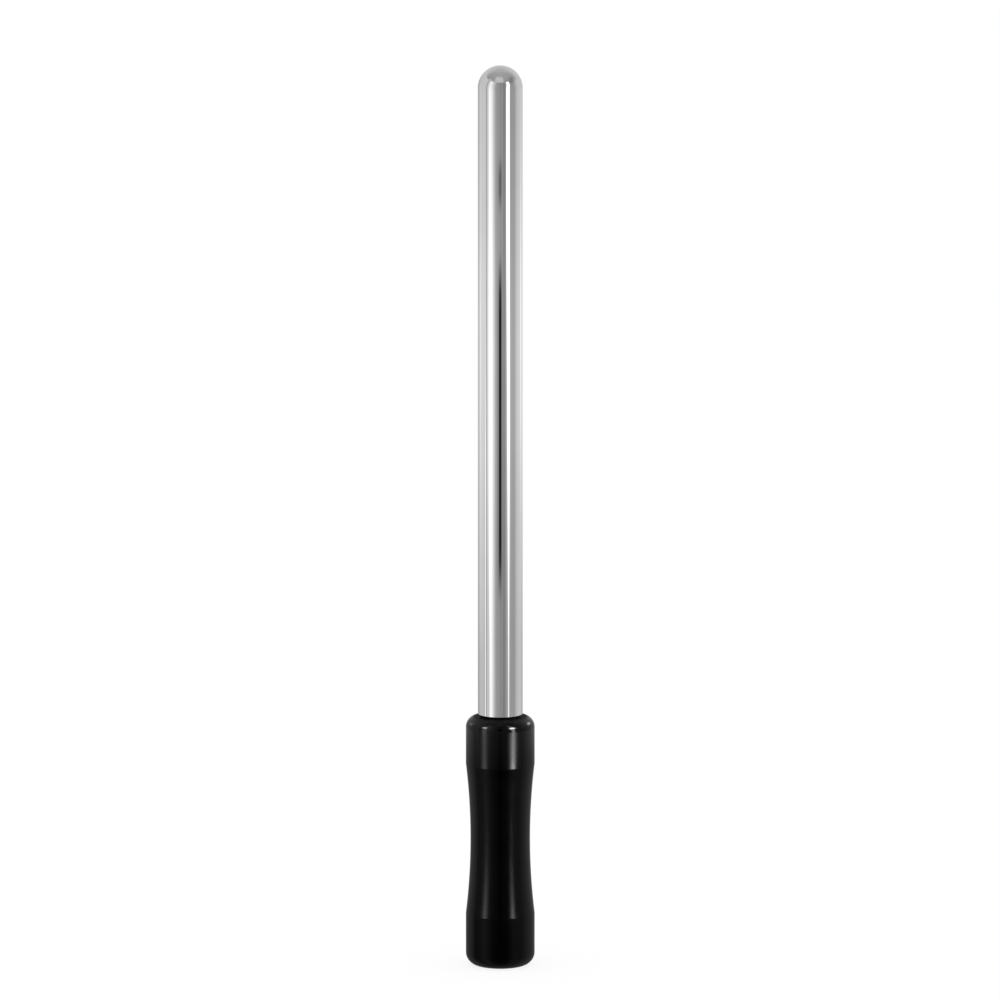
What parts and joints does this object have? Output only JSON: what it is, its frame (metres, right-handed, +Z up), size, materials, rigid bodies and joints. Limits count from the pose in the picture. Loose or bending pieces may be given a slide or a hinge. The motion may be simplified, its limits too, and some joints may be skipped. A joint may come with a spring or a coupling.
{
  "type": "ring sizer stick",
  "caption": "Round ring mandrel: a polished steel rod of one diameter with a domed tip, standing in a black turned aluminium handle with a waist.",
  "frame": {"origin": "centre of the handle's base, on the surface that the stick stands on", "axes": "+Z up along the rod's axis, from the handle's base towards the domed tip"},
  "size_m": [0.0138, 0.0138, 0.1831],
  "materials": {
    "polished_steel": "polished",
    "black_anodised_aluminium": "satin",
    "black_oxide_steel": "satin",
    "spring_steel": "satin",
    "black_rubber": "matte"
  },
  "bodies": {
    "root": {"mandrel_rod": "polished_steel", "handle": "black_anodised_aluminium", "retaining_screw": "black_oxide_steel", "lock_washer": "spring_steel", "base_plug": "black_rubber"}
  },
  "joints": []
}
